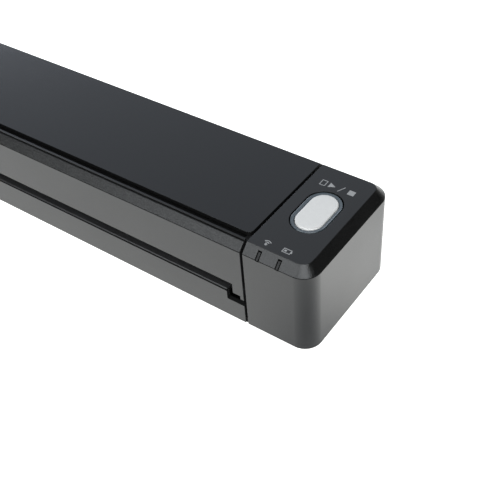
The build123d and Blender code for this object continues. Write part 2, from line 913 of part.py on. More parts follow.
# Upper paper guide under the cover, with windows for the sensor and the pinch rollers
sensor_front = sensor_in - sensor_width / 2
sensor_back = sensor_in + sensor_width / 2
pinch_window = pinch_radius + clear
with BuildPart() as upper_paper_guide:
    with BuildSketch(Plane.YZ):
        add(
            section(
                (upper_front, upper_top),
                (upper_front, upper_top - fit),
                (upper_front + guide_plate - fit, upper_low),
                (rear_in - clear, upper_low),
                (rear_in - clear, upper_top),
            )
        )
    extrude(amount=inner_half - clear, both=True)
    with BuildSketch(above(upper_low)):
        with Locations((0, front + sensor_in)):
            Rectangle(2 * (sensor_half + clear), sensor_width + 2 * clear)
        for inward in (feed_in, eject_in):
            with Locations(*[(place, front + inward) for place in roller_places]):
                Rectangle(roller_length + 2 * window_room, 2 * pinch_window)
        for side in (-1, 1):
            with Locations((side * mid_half, front)):
                Rectangle(2 * (ear_width + clear + end_wall), 2 * front_low_back)
    extrude(amount=guide_plate, mode=Mode.SUBTRACT)
    for side in (-1, 1):
        with BuildSketch(Plane.YZ.offset(side * upright_x)):
            for inward in (feed_in, eject_in):
                cheek = 2 * pinch_shaft
                add(rect(inward - cheek, inward + cheek, upper_top, pinch_up + cheek))
                add(disc(inward, pinch_up, pinch_shaft + running), mode=Mode.SUBTRACT)
        extrude(amount=side * upright_thickness)
upper_paper_guide.part.label = "upper_paper_guide"
export_step(upper_paper_guide.part, "parts/upper_paper_guide.step")


# Pinch rollers, four plastic rolls on a steel shaft, twice
def round_bar(inward, up, radius, start, end, bore=0.0):
    """Bar or tube along X at a section point."""
    with BuildPart() as bar:
        with BuildSketch(Plane.YZ.offset(start)):
            add(disc(inward, up, radius))
            if bore > 0:
                add(disc(inward, up, bore), mode=Mode.SUBTRACT)
        extrude(amount=end - start)
    return bar.part


def roll_set(inward, up, radius, bore):
    """Four equal rolls at the paper path's roller places."""
    with BuildPart() as rolls:
        for place in roller_places:
            add(round_bar(inward, up, radius, place - roller_length / 2, place + roller_length / 2, bore))
    return rolls.part


pinch_end = upright_x + upright_thickness
with BuildPart() as front_pinch_shaft:
    add(round_bar(feed_in, pinch_up, pinch_shaft, -pinch_end, pinch_end))
front_pinch_shaft.part.label = "front_pinch_shaft"
export_step(front_pinch_shaft.part, "parts/front_pinch_shaft.step")

with BuildPart() as front_pinch_rollers:
    add(roll_set(feed_in, pinch_up, pinch_radius, pinch_shaft + running / 2))
front_pinch_rollers.part.label = "front_pinch_rollers"
export_step(front_pinch_rollers.part, "parts/front_pinch_rollers.step")

with BuildPart() as rear_pinch_shaft:
    add(round_bar(eject_in, pinch_up, pinch_shaft, -pinch_end, pinch_end))
rear_pinch_shaft.part.label = "rear_pinch_shaft"
export_step(rear_pinch_shaft.part, "parts/rear_pinch_shaft.step")

with BuildPart() as rear_pinch_rollers:
    add(roll_set(eject_in, pinch_up, pinch_radius, pinch_shaft + running / 2))
rear_pinch_rollers.part.label = "rear_pinch_rollers"
export_step(rear_pinch_rollers.part, "parts/rear_pinch_rollers.step")

# Leaf springs that press the pinch shafts down
leaf_low = pinch_up + pinch_shaft + fit
spring_bend = spring_reach - spring_foot
with BuildPart() as pinch_springs:
    for inward, way in ((feed_in, -1), (eject_in, 1)):
        for side in (-1, 1):
            with BuildSketch(Plane.YZ.offset(side * (upright_x - fit) - side * spring_width)):
                add(
                    section(
                        (inward + way * spring_reach, upper_top),
                        (inward + way * spring_bend, upper_top),
                        (inward + way * (spring_bend - spring_rise), leaf_low),
                        (inward - way * spring_press, leaf_low),
                        (inward - way * spring_press, leaf_low + spring_skin),
                        (inward + way * (spring_bend - spring_rise + spring_lean), leaf_low + spring_skin),
                        (inward + way * (spring_bend + spring_lean), upper_top + spring_skin),
                        (inward + way * spring_reach, upper_top + spring_skin),
                    )
                )
            extrude(amount=side * spring_width)
pinch_springs.part.label = "pinch_springs"
export_step(pinch_springs.part, "parts/pinch_springs.step")

# Contact image sensor: housing, glass, board and the bow springs above it
glass_low = upper_low - fit
bar_low = glass_low + glass_thickness
bar_top = bar_low + sensor_height
with BuildPart() as sensor_bar:
    with BuildSketch(Plane.YZ):
        add(rect(sensor_front, sensor_back, bar_low, bar_top))
    extrude(amount=sensor_half, both=True)
    with BuildSketch(Plane.YZ):
        add(rect(sensor_in - wall, sensor_in + wall, bar_low, bar_top - wall))
    extrude(amount=sensor_half - wall, both=True, mode=Mode.SUBTRACT)
sensor_bar.part.label = "sensor_bar"
export_step(sensor_bar.part, "parts/sensor_bar.step")

with BuildPart() as sensor_glass:
    with BuildSketch(Plane.YZ):
        add(rect(sensor_front, sensor_back, glass_low, bar_low))
    extrude(amount=sensor_half, both=True)
sensor_glass.part.label = "sensor_glass"
export_step(sensor_glass.part, "parts/sensor_glass.step")

with BuildPart() as sensor_board:
    with BuildSketch(Plane.YZ):
        add(rect(sensor_back, sensor_back + board_thickness, bar_low + wall, bar_top - clear))
    extrude(amount=sensor_board_length / 2, both=True)
sensor_board.part.label = "sensor_board"
export_step(sensor_board.part, "parts/sensor_board.step")

tray_under = tray_top - tray_skin
with BuildPart() as sensor_springs:
    for place in (-2 * sensor_half / 3, 2 * sensor_half / 3):
        with BuildSketch(Plane.YZ.offset(place - spring_width)):
            add(
                section(
                    (sensor_in - bow_half, tray_under),
                    (sensor_in - bow_foot, bar_top),
                    (sensor_in + bow_foot, bar_top),
                    (sensor_in + bow_half, tray_under),
                    (sensor_in + bow_half - spring_skin, tray_under),
                    (sensor_in + bow_foot - spring_skin, bar_top + spring_skin),
                    (sensor_in - bow_foot + spring_skin, bar_top + spring_skin),
                    (sensor_in - bow_half + spring_skin, tray_under),
                )
            )
        extrude(amount=2 * spring_width)
sensor_springs.part.label = "sensor_springs"
export_step(sensor_springs.part, "parts/sensor_springs.step")

# Lower paper guide with its front lip and its windows for the driven rollers and the lever
lower_half = plate_x - clear
pad_half = sensor_half - pad_from_sensor
with BuildPart() as lower_paper_guide:
    with BuildSketch(Plane.YZ):
        add(rect(wall + clear, depth - wall - clear, guide_under, band_height))
    extrude(amount=lower_half, both=True)
    with BuildSketch(Plane.YZ):
        add(
            section(
                (lip_front, band_height + touch),
                (lip_front, band_height + lip_rise - lip_round),
                (lip_front + lip_round, band_height + lip_rise),
                (lip_back, band_height + lip_rise),
                (lip_back + lip_ramp, band_height),
                (lip_back + lip_ramp, guide_under),
                (wall + clear, guide_under),
                (wall + clear, band_height + touch),
            )
        )
    extrude(amount=mid_half - notch_width - clear, both=True)
    with BuildSketch(above(guide_under)):
        for inward in (feed_in, eject_in):
            with Locations(*[(place, front + inward) for place in roller_places]):
                Rectangle(roller_length + 2 * window_room, 2 * (roller_radius + clear))
        with Locations((0, front + lever_in + lever_reach / 3)):
            Rectangle(lever_width + 2 * clear, lever_reach + lever_arm)
        for side in (-1, 1):
            with Locations((side * mid_half, front)):
                Rectangle(2 * (notch_width + clear), 2 * (notch_back + clear))
    extrude(amount=guide_plate, mode=Mode.SUBTRACT)
    with BuildSketch(above(band_height - pad_thickness)):
        with Locations((0, front + sensor_in)):
            Rectangle(2 * (pad_half + fit), sensor_width + 2 * fit)
    extrude(amount=pad_thickness, mode=Mode.SUBTRACT)
    with BuildSketch(above(boss_split)):
        with Locations(*tub_screws):
            Circle(column_radius)
    extrude(amount=guide_under - boss_split)
    with BuildSketch(above(boss_split)):
        with Locations(*tub_screws):
            Circle(screw_radius + touch)
    extrude(amount=screw_length - boss_split + screw_head_height + fit, mode=Mode.SUBTRACT)
lower_paper_guide.part.label = "lower_paper_guide"
export_step(lower_paper_guide.part, "parts/lower_paper_guide.step")

with BuildPart() as backing_pad:
    with BuildSketch(above(band_height - pad_thickness)):
        with Locations((0, front + sensor_in)):
            Rectangle(2 * pad_half, sensor_width)
    extrude(amount=pad_thickness)
backing_pad.part.label = "backing_pad"
export_step(backing_pad.part, "parts/backing_pad.step")

# Side plates that carry the driven shafts in flanged bushes
plate_top = band_height + paper_gap / 2


def side_plate(side):
    """Upright steel plate with two bush holes."""
    with BuildPart() as plate:
        with BuildSketch(Plane.YZ.offset(side * plate_x)):
            add(rect(notch_back + wall, depth - wall - clear, wall, plate_top))
            for inward in (feed_in, eject_in):
                add(disc(inward, roller_up, bush_radius + running / 2), mode=Mode.SUBTRACT)
        extrude(amount=side * plate_thickness)
    return plate.part


with BuildPart() as right_side_plate:
    add(side_plate(1))
right_side_plate.part.label = "right_side_plate"
export_step(right_side_plate.part, "parts/right_side_plate.step")

with BuildPart() as left_side_plate:
    add(side_plate(-1))
left_side_plate.part.label = "left_side_plate"
export_step(left_side_plate.part, "parts/left_side_plate.step")

bush_start = plate_x - fit
with BuildPart() as shaft_bushes:
    for side in (-1, 1):
        for inward in (feed_in, eject_in):
            add(
                round_bar(
                    inward, roller_up, bush_radius,
                    side * bush_start, side * (bush_start + bush_length), shaft_radius + running,
                )
            )
            add(
                round_bar(
                    inward, roller_up, bush_flange,
                    side * (plate_x + plate_thickness), side * (plate_x + plate_thickness + flange_thickness),
                    shaft_radius + running,
                )
            )
shaft_bushes.part.label = "shaft_bushes"
export_step(shaft_bushes.part, "parts/shaft_bushes.step")

# Driven rollers: steel shaft, rubber rolls and gear, at the feed and eject places
gear_start = cap_inner + wall + gear_space
gear_end = gear_start + gear_thickness
wheel_start = gear_end + gear_space
wheel_end = wheel_start + wheel_thickness
gear_plate_start = wheel_end + gear_space
gear_plate_end = gear_plate_start + gear_plate_thickness
shaft_right = bush_start + bush_length


def spur(inward, up, tip, start, end, bore):
    """Spur gear along X, between two distances left of the middle."""
    with BuildPart() as gear:
        with BuildSketch(Plane.YZ.offset(-start)):
            add(toothed(inward, up, tip))
            add(disc(inward, up, bore), mode=Mode.SUBTRACT)
        extrude(amount=start - end)
    return gear.part


with BuildPart() as feed_roller_shaft:
    add(round_bar(feed_in, roller_up, shaft_radius, -gear_end, shaft_right))
feed_roller_shaft.part.label = "feed_roller_shaft"
export_step(feed_roller_shaft.part, "parts/feed_roller_shaft.step")

with BuildPart() as feed_rollers:
    add(roll_set(feed_in, roller_up, roller_radius, shaft_radius + running / 2))
feed_rollers.part.label = "feed_rollers"
export_step(feed_rollers.part, "parts/feed_rollers.step")

with BuildPart() as feed_gear:
    add(spur(feed_in, roller_up, drive_tip, gear_start, gear_end, shaft_radius + running / 2))
feed_gear.part.label = "feed_gear"
export_step(feed_gear.part, "parts/feed_gear.step")

with BuildPart() as eject_roller_shaft:
    add(round_bar(eject_in, roller_up, shaft_radius, -gear_end, shaft_right))
eject_roller_shaft.part.label = "eject_roller_shaft"
export_step(eject_roller_shaft.part, "parts/eject_roller_shaft.step")

with BuildPart() as eject_rollers:
    add(roll_set(eject_in, roller_up, roller_radius, shaft_radius + running / 2))
eject_rollers.part.label = "eject_rollers"
export_step(eject_rollers.part, "parts/eject_rollers.step")

with BuildPart() as eject_gear:
    add(spur(eject_in, roller_up, drive_tip, gear_start, gear_end, shaft_radius + running / 2))
eject_gear.part.label = "eject_gear"
export_step(eject_gear.part, "parts/eject_gear.step")

# Gear train in the left cap: idler between the rollers, stepped wheel, pinion and motor
idler_in = (feed_in + eject_in) / 2
idler_up = roller_up + sqrt((drive_tip + idler_tip + mesh_gap) ** 2 - (idler_in - feed_in) ** 2)
small_reach = idler_tip + small_tip + mesh_gap
wheel_in = idler_in - small_reach * sin(radians(wheel_lean))
wheel_up = idler_up + small_reach * cos(radians(wheel_lean))
motor_in = wheel_in + wheel_tip + pinion_tip + mesh_gap
with BuildPart() as idler_gear:
    add(spur(idler_in, idler_up, idler_tip, gear_start, gear_end, post_radius + running))
idler_gear.part.label = "idler_gear"
export_step(idler_gear.part, "parts/idler_gear.step")

with BuildPart() as reduction_gear:
    add(spur(wheel_in, wheel_up, small_tip, gear_start, wheel_start, post_radius + running))
    add(spur(wheel_in, wheel_up, wheel_tip, wheel_start, wheel_end, post_radius + running))
reduction_gear.part.label = "reduction_gear"
export_step(reduction_gear.part, "parts/reduction_gear.step")

axle_end = gear_plate_end + motor_length / 2
with BuildPart() as motor_pinion:
    add(spur(motor_in, wheel_up, pinion_tip, wheel_start, wheel_end, motor_axle))
    add(round_bar(motor_in, wheel_up, motor_axle, -axle_end, -wheel_start))
motor_pinion.part.label = "motor_pinion"
export_step(motor_pinion.part, "parts/motor_pinion.step")

with BuildPart() as drive_motor:
    add(round_bar(motor_in, wheel_up, motor_radius, -gear_plate_end - motor_length, -gear_plate_end))
    add(round_bar(motor_in, wheel_up, motor_boss, -gear_plate_end, -gear_plate_start))
    with BuildSketch(Plane.YZ.offset(-axle_end - fit)):
        add(disc(motor_in, wheel_up, motor_axle + running))
    extrude(amount=axle_end, mode=Mode.SUBTRACT)
drive_motor.part.label = "drive_motor"
export_step(drive_motor.part, "parts/drive_motor.step")

plate_front = wheel_in - wheel_tip - 2 * spacer_radius
plate_rear = motor_in + motor_radius + wall
spacer_front = plate_front + spacer_radius + clear
spacer_rear = plate_rear - spacer_radius - clear
spacer_up = chamfer_low - lip_depth - spacer_radius - clear
spacer_places = [
    (spacer_front, spacer_up),
    (spacer_rear, spacer_up),
    (spacer_front, idler_up + 2 * spacer_radius),
]
post_spots = [(idler_in, idler_up), (wheel_in, wheel_up)]
with BuildPart() as gear_plate:
    with BuildSketch(Plane.YZ.offset(-gear_plate_start)):
        add(rect(plate_front, plate_rear, roller_up, wheel_up + wheel_tip + fit))
        add(disc(motor_in, wheel_up, motor_boss + touch), mode=Mode.SUBTRACT)
        for spot in post_spots:
            add(disc(*spot, post_radius + touch), mode=Mode.SUBTRACT)
    extrude(amount=-gear_plate_thickness)
gear_plate.part.label = "gear_plate"
export_step(gear_plate.part, "parts/gear_plate.step")

with BuildPart() as gear_posts:
    for spot in post_spots:
        add(round_bar(*spot, post_radius, -gear_plate_end, -cap_inner - wall))
    for spot in spacer_places:
        add(round_bar(*spot, spacer_radius, -gear_plate_start, -cap_inner - wall))
gear_posts.part.label = "gear_posts"
export_step(gear_posts.part, "parts/gear_posts.step")

# Battery on the tub floor between the rollers
with BuildPart() as battery_pack:
    with BuildSketch(above(wall)):
        with Locations((0, front + sensor_in)):
            RectangleRounded(battery_length, battery_width, wall)
    extrude(amount=battery_height)
battery_pack.part.label = "battery_pack"
export_step(battery_pack.part, "parts/battery_pack.step")

# Paper sensor lever ahead of the feed rollers
lever_tip = lever_up + lever_reach - lever_arm / 2
with BuildPart() as paper_sensor_lever:
    with BuildSketch(Plane.YZ.offset(-lever_width / 2)):
        add(disc(lever_in, lever_up, lever_hub))
        add(rect(lever_in - lever_arm / 2, lever_in + lever_arm / 2, lever_up, lever_tip))
        add(disc(lever_in, lever_tip, lever_arm / 2))
    extrude(amount=lever_width)
    with BuildSketch(Plane.YZ.offset(-lever_width / 2 - clear - lever_cheek)):
        add(disc(lever_in, lever_up, lever_pin))
    extrude(amount=lever_width + 2 * (clear + lever_cheek))
paper_sensor_lever.part.label = "paper_sensor_lever"
export_step(paper_sensor_lever.part, "parts/paper_sensor_lever.step")

# Rubber feet in shallow pockets, and the six screws that close the housing from below
with BuildPart() as rubber_feet:
    with BuildSketch(Plane.XY):
        with GridLocations(2 * (mid_half - foot_from_end), depth - 2 * foot_from_front, 2, 2):
            RectangleRounded(foot_length, foot_width, foot_width / 3)
    extrude(amount=foot_height + foot_recess)
rubber_feet.part.label = "rubber_feet"
export_step(rubber_feet.part, "parts/rubber_feet.step")

with BuildPart() as housing_screws:
    with BuildSketch(above(fit)):
        with Locations(*tub_screws, *cap_screws, *left_cap_screws):
            Circle(screw_head)
    extrude(amount=screw_head_height)
    with BuildSketch(above(fit + screw_head_height)):
        with Locations(*tub_screws, *cap_screws, *left_cap_screws):
            Circle(screw_radius)
    extrude(amount=screw_length)
housing_screws.part.label = "housing_screws"
export_step(housing_screws.part, "parts/housing_screws.step")
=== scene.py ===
import json
from math import cos, pi, radians, sin

import bmesh
import bpy
from mathutils import Matrix, Vector

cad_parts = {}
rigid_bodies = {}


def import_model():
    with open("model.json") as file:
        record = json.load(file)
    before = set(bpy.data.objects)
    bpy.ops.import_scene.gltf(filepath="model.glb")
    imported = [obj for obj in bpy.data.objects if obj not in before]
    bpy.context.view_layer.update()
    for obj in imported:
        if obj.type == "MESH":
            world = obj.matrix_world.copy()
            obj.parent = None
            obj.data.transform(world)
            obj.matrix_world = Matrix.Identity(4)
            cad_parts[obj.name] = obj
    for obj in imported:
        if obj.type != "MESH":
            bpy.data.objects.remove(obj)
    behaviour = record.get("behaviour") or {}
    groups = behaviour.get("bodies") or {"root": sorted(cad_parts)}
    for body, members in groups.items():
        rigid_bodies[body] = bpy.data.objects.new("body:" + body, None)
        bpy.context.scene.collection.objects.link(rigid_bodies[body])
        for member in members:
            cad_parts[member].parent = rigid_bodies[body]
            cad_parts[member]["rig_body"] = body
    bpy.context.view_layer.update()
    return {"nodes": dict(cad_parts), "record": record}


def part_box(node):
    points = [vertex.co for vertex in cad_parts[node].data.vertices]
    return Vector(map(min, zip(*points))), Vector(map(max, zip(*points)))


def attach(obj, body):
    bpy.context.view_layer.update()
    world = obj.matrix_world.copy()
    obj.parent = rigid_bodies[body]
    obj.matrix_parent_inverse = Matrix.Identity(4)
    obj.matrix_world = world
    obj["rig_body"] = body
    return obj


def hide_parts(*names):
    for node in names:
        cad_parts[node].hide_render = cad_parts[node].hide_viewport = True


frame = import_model()

# Units
mm = 0.001

# Camera, at the photograph's viewpoint
camera_place = Vector((225.64, -160.63, 204.64)) * mm
camera_azimuth = radians(38.646)
camera_elevation = radians(43.844)
camera_roll = radians(-4.731)
camera_lens = 61.01
camera_sensor = 36.0
camera_near = 10 * mm

# Studio table, with a painted bright and a painted dim patch in its glow beside the button end, hidden from the camera,
# that the sides mirror as painted reflections
table_size = 40.0
table_colour = (0.86, 0.86, 0.86, 1)
table_tint = (1.0, 1.0, 0.965, 1)
table_rough = 0.9
table_specular = 0.1
table_glow = 1.05
bright_gain = 1.1
bright_centre = (0.175, 0.025, 0)
bright_reach = 0.07
dim_loss = 1.05
dim_centre = (0.146, -0.031, 0)
dim_reach = 0.044

# Studio light
subject = Vector((0.09, 0.0, 0.02))
card_reach = 0.9
cool = (0.96, 1.0, 1.03)
sky = (0.92, 1.0, 1.13)
room_light = 0.03
backdrop_light = 1.05

# Meshes
weld = 0.001 * mm
flat_angle = radians(0.3)
crease_angle = radians(28)
round_sides = 48
slot_steps = 24
edge_steps = 3
sorting_digits = 5

# Edges of the moulded shells
shell_edge = 0.30 * mm
cover_edge = 0.12 * mm
panel_edge = 0.35 * mm
flap_edge = 0.45 * mm
small_edge = 0.15 * mm
foot_edge = 0.4 * mm

# Flat tops: depth over which a top's painted shade and grain give way to those of the faces below it
top_fade = 0.15 * mm

# Webs at the foot of the gaps beside the end housings
web_edge = 0.08 * mm
web_edge_steps = 2
web_reach = 1.3 * mm
web_touch = 0.03 * mm
web_back = 0.22 * mm
web_rise = 2.6 * mm

# Housing screws
screw_head = 1.2 * mm
screw_shank = 1.25 * mm
recess_width = 0.65 * mm
recess_depth = 0.75 * mm
recess_span = 1.25
head_taper = 0.86
shank_middle = 0.51

# Grip ribs on the slide knob
rib_radius = 0.16 * mm
rib_height = 1.7 * mm
rib_step = 0.62 * mm
rib_sunk = 0.05 * mm
rib_sides = 16
rib_rows = (-2, -1, 0, 1, 2)

# Push button, with the degrees of its rounded rim, and its dome as (inwards, up from the rim)
key_trim = 0.25 * mm
key_round = 0.4 * mm
key_lift = 0.3 * mm
key_shift = 0.1 * mm
key_depth = 6.4 * mm
key_flange = 1.15 * mm
key_flange_rise = 1.30 * mm
rim_degrees = range(0, 91, 15)
key_dome = [(1.6 * mm, 0.03 * mm), (3.2 * mm, 0.05 * mm)]
plunger_radius = 1.50 * mm
plunger_overlap = 0.05 * mm

# Light ring, and its crown from lip to outer edge as (outwards, down from the ridge)
ring_drop = 0.15 * mm
ring_width = 1.0 * mm
ring_flange = 0.85 * mm
ring_flange_rise = 1.2 * mm
ring_lip = -0.18 * mm
ring_edge = 0.85 * mm
ring_crown = [
    (ring_lip, 0.22 * mm),
    (-0.10 * mm, 0.15 * mm),
    (0.45 * mm, 0.06 * mm),
    (0.62 * mm, 0.03 * mm),
    (0.70 * mm, 0),
    (0.78 * mm, 0.03 * mm),
    (ring_edge, 0.12 * mm),
]

# Printed signs: their places on the panel, and their sizes from each sign's centre
ink_rise = 0.02 * mm
wave_line = 0.3 * mm
frame_line = 0.25 * mm
slash_line = 0.3 * mm
lamp_sign_across = 0.62 * mm
lamp_sign_in = 5.45 * mm
start_sign_in = 36.95 * mm
dot_radius = 0.22 * mm
dot_end = 330
dot_steps = 20
wave_reaches = (0.9 * mm, 1.55 * mm)
wave_start, wave_end = 45, 135
wave_steps = 16
wave_drop = 0.8 * mm
case_left, case_right, case_half = -1.5 * mm, 1.3 * mm, 0.9 * mm
cap_end, cap_half = 1.6 * mm, 0.35 * mm
charge_left, charge_right = -0.95 * mm, -0.2 * mm
sheet_left, sheet_right, sheet_half = -6.4 * mm, -4.4 * mm, 1.3 * mm
play_back, play_tip, play_half = -3.4 * mm, -1.2 * mm, 1.15 * mm
slash_foot, slash_head, slash_half = 0.15 * mm, 1.45 * mm, 1.4 * mm
stop_left, stop_right, stop_half = 3.4 * mm, 5.6 * mm, 1.05 * mm


# Pieces
def finished_mesh(name, shape, smooth):
    """Turns a shape into a mesh with its faces outwards, shaded flat, or smooth between its sharp edges."""
    bmesh.ops.recalc_face_normals(shape, faces=shape.faces)
    for face in shape.faces:
        face.smooth = smooth
    mesh = bpy.data.meshes.new(name)
    shape.to_mesh(mesh)
    shape.free()
    if smooth:
        mesh.set_sharp_from_angle(angle=crease_angle)
    return mesh


def new_piece(name, mesh, body, slot, *replaced):
    """Adds a finished mesh to the scene as a piece that rides on a body."""
    piece = bpy.data.objects.new(name, mesh)
    bpy.context.scene.collection.objects.link(piece)
    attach(piece, body)
    if replaced:
        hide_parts(*replaced)
    return piece


def paint(piece, material):
    """Gives a piece or a node one material."""
    piece.data.materials.clear()
    piece.data.materials.append(material)


# Nodes
def fill(made, values):
    """Sets a node's inputs by name or number."""
    for entry, value in values.items():
        made.inputs[entry].default_value = value


def node(tree, kind, values=None, **settings):
    """Adds a node with its settings and the values of its inputs."""
    made = tree.nodes.new(kind)
    for key, value in settings.items():
        setattr(made, key, value)
    fill(made, values or {})
    return made


def wire(source, output, target, entry):
    """Links an output of one node to an input of another."""
    source.id_data.links.new(source.outputs[output], target.inputs[entry])


# Shader groups
def new_group(name, inputs, outputs):
    """Makes an empty shader group with named inputs, each with its value, and named outputs."""
    group = bpy.data.node_groups.new(name, "ShaderNodeTree")
    for title, value in inputs.items():
        socket = group.interface.new_socket(title, in_out="INPUT", socket_type="NodeSocketFloat")
        socket.default_value = value
    for title in outputs:
        group.interface.new_socket(title, in_out="OUTPUT", socket_type="NodeSocketFloat")
    return group, node(group, "NodeGroupInput"), node(group, "NodeGroupOutput")


def grain_group():
    """Spark-eroded grain of a mould: fine cells broken up by noise, as a height and a speckle mask."""
    group, given, result = new_group("moulded_grain", {"Grains per metre": 3000.0}, ["Height", "Speckle"])
    place = node(group, "ShaderNodeTexCoord")
    cells = node(group, "ShaderNodeTexVoronoi", {"Smoothness": 0.6, "Randomness": 1.0}, feature="SMOOTH_F1")
    noise = node(group, "ShaderNodeTexNoise", {"Detail": 4.0, "Roughness": 0.65})
    for texture in (cells, noise):
        wire(place, "Object", texture, "Vector")
        wire(given, "Grains per metre", texture, "Scale")
    cell_share = 0.6
    mixed = node(group, "ShaderNodeMath", {1: cell_share}, operation="MULTIPLY_ADD")
    wire(cells, "Distance", mixed, 0)
    wire(noise, "Fac", mixed, 2)
    wire(mixed, "Value", result, "Height")
    spots = node(group, "ShaderNodeMapRange", {"From Min": 0.42, "From Max": 0.62})
    wire(noise, "Fac", spots, "Value")
    wire(spots, "Result", result, "Speckle")
    return group


def handling_group():
    """Broad, soft unevenness that handling and moulding leave on a surface."""
    group, given, result = new_group("handling", {"Patches per metre": 30.0}, ["Patches"])
    place = node(group, "ShaderNodeTexCoord")
    noise = node(group, "ShaderNodeTexNoise", {"Detail": 3.0, "Distortion": 0.4})
    wire(place, "Object", noise, "Vector")
    wire(given, "Patches per metre", noise, "Scale")
    wire(noise, "Fac", result, "Patches")
    return group


def top_group():
    """Tells a part's flat top, at a given height, from all that lies below it."""
    group, given, result = new_group("flat_top", {"Top height": 0.0}, ["Top"])
    place = node(group, "ShaderNodeTexCoord")
    height = node(group, "ShaderNodeSeparateXYZ")
    wire(place, "Object", height, "Vector")
    above = node(group, "ShaderNodeMath", operation="SUBTRACT")
    wire(height, "Z", above, 0)
    wire(given, "Top height", above, 1)
    span = {"From Min": -top_fade, "From Max": 0.0}
    step = node(group, "ShaderNodeMapRange", span, interpolation_type="SMOOTHSTEP")
    wire(above, "Value", step, "Value")
    wire(step, "Result", result, "Top")
    return group


grain = grain_group()
handling = handling_group()
flat_top = top_group()


# Materials
def bare_material(name):
    """Makes a material, and returns it with its node tree and its surface shader."""
    material = bpy.data.materials.new(name)
    material.use_nodes = True
    tree = material.node_tree
    return material, tree, tree.nodes["Principled BSDF"]


def shade(surface, source, output, low, high):
    """Gives a surface a colour between two, by another node's output."""
    mix = node(surface.id_data, "ShaderNodeMix", {"A": (*low, 1), "B": (*high, 1)}, data_type="RGBA")
    wire(source, output, mix, "Factor")
    wire(mix, "Result", surface, "Base Color")


def roughen(surface, source, output, low, high):
    """Gives a surface a roughness between two, by another node's output."""
    span = node(surface.id_data, "ShaderNodeMapRange", {"To Min": low, "To Max": high})
    wire(source, output, span, "Value")
    wire(span, "Result", surface, "Roughness")


def grey(level):
    """A neutral colour."""
    return (level,) * 3


def moulded(name, dark, light, rough, grains, depth, coat=0.0, specular=0.5):
    """A moulded plastic: speckled by its grain, which stands in relief, and rougher where it was handled."""
    material, tree, surface = bare_material(name)
    texture = node(tree, "ShaderNodeGroup", {"Grains per metre": grains}, node_tree=grain)
    shade(surface, texture, "Speckle", dark, light)
    roughen(surface, node(tree, "ShaderNodeGroup", node_tree=handling), "Patches", *rough)
    relief = node(tree, "ShaderNodeBump", {"Distance": depth, "Strength": 1.0}, name="grain_relief")
    wire(texture, "Height", relief, "Height")
    wire(relief, "Normal", surface, "Normal")
    fill(surface, {"Coat Weight": coat, "Coat Roughness": 0.08, "Specular IOR Level": specular})
    return material


def paint_top_shade_and_grain(material, height, colour, share):
    """Paints a plastic's flat top another shade than the faces below it, as painted light, and gives it a share of its
    grain; leaves it as it is below.
    """
    tree = material.node_tree
    surface = tree.nodes["Principled BSDF"]
    relief = tree.nodes["grain_relief"]
    top = node(tree, "ShaderNodeGroup", {"Top height": height}, node_tree=flat_top)
    mix = node(tree, "ShaderNodeMix", {"B": (*colour, 1)}, data_type="RGBA")
    wire(top, "Top", mix, "Factor")
    tree.links.new(surface.inputs["Base Color"].links[0].from_socket, mix.inputs["A"])
    wire(mix, "Result", surface, "Base Color")
    part = node(tree, "ShaderNodeMapRange", {"To Min": 1.0, "To Max": share})
    wire(top, "Top", part, "Value")
    product = node(tree, "ShaderNodeMath", operation="MULTIPLY")
    tree.links.new(relief.inputs["Height"].links[0].from_socket, product.inputs[0])
    wire(part, "Result", product, 1)
    wire(product, "Value", relief, "Height")


def drawn_steel():
    """Zinc-plated steel with fine lines along its length."""
    material, tree, surface = bare_material("drawn_steel")
    place = node(tree, "ShaderNodeTexCoord")
    stretch = node(tree, "ShaderNodeMapping", {"Scale": (60, 2500, 2500)})
    lines = node(tree, "ShaderNodeTexNoise", {"Scale": 1.0, "Detail": 3.0})
    wire(place, "Object", stretch, "Vector")
    wire(stretch, "Vector", lines, "Vector")
    shade(surface, lines, "Fac", (0.42, 0.43, 0.44), (0.56, 0.57, 0.58))
    roughen(surface, lines, "Fac", 0.24, 0.40)
    fill(surface, {"Metallic": 1.0})
    return material


def solder_mask():
    """Green circuit board: copper tracks show as slightly lighter lines."""
    material, tree, surface = bare_material("solder_mask")
    place = node(tree, "ShaderNodeTexCoord")
    tracks = node(tree, "ShaderNodeTexBrick", {
        "Scale": 300.0,
        "Mortar Size": 0.03,
        "Color1": (0.004, 0.040, 0.016, 1),
        "Color2": (0.005, 0.050, 0.020, 1),
        "Mortar": (0.010, 0.090, 0.035, 1),
    })
    wire(place, "Object", tracks, "Vector")
    wire(tracks, "Color", surface, "Base Color")
    relief = node(tree, "ShaderNodeBump", {"Distance": 0.02 * mm})
    wire(tracks, "Fac", relief, "Height")
    wire(relief, "Normal", surface, "Normal")
    fill(surface, {"Roughness": 0.32})
    return material


def sensor_window():
    """Clear glass over the sensor, faintly uneven."""
    material, tree, surface = bare_material("sensor_window")
    patches = node(tree, "ShaderNodeGroup", {"Patches per metre": 60.0}, node_tree=handling)
    shade(surface, patches, "Patches", (0.80, 0.92, 0.89), (0.86, 0.95, 0.93))
    roughen(surface, patches, "Patches", 0.02, 0.06)
    fill(surface, {"Transmission Weight": 1.0, "IOR": 1.5})
    return material


def sign_ink():
    """Pale grey screen print, a little uneven."""
    material, tree, surface = bare_material("sign_ink")
    texture = node(tree, "ShaderNodeGroup", {"Grains per metre": 6000.0}, node_tree=grain)
    shade(surface, texture, "Speckle", grey(0.30), grey(0.38))
    fill(surface, {"Roughness": 0.5})
    return material


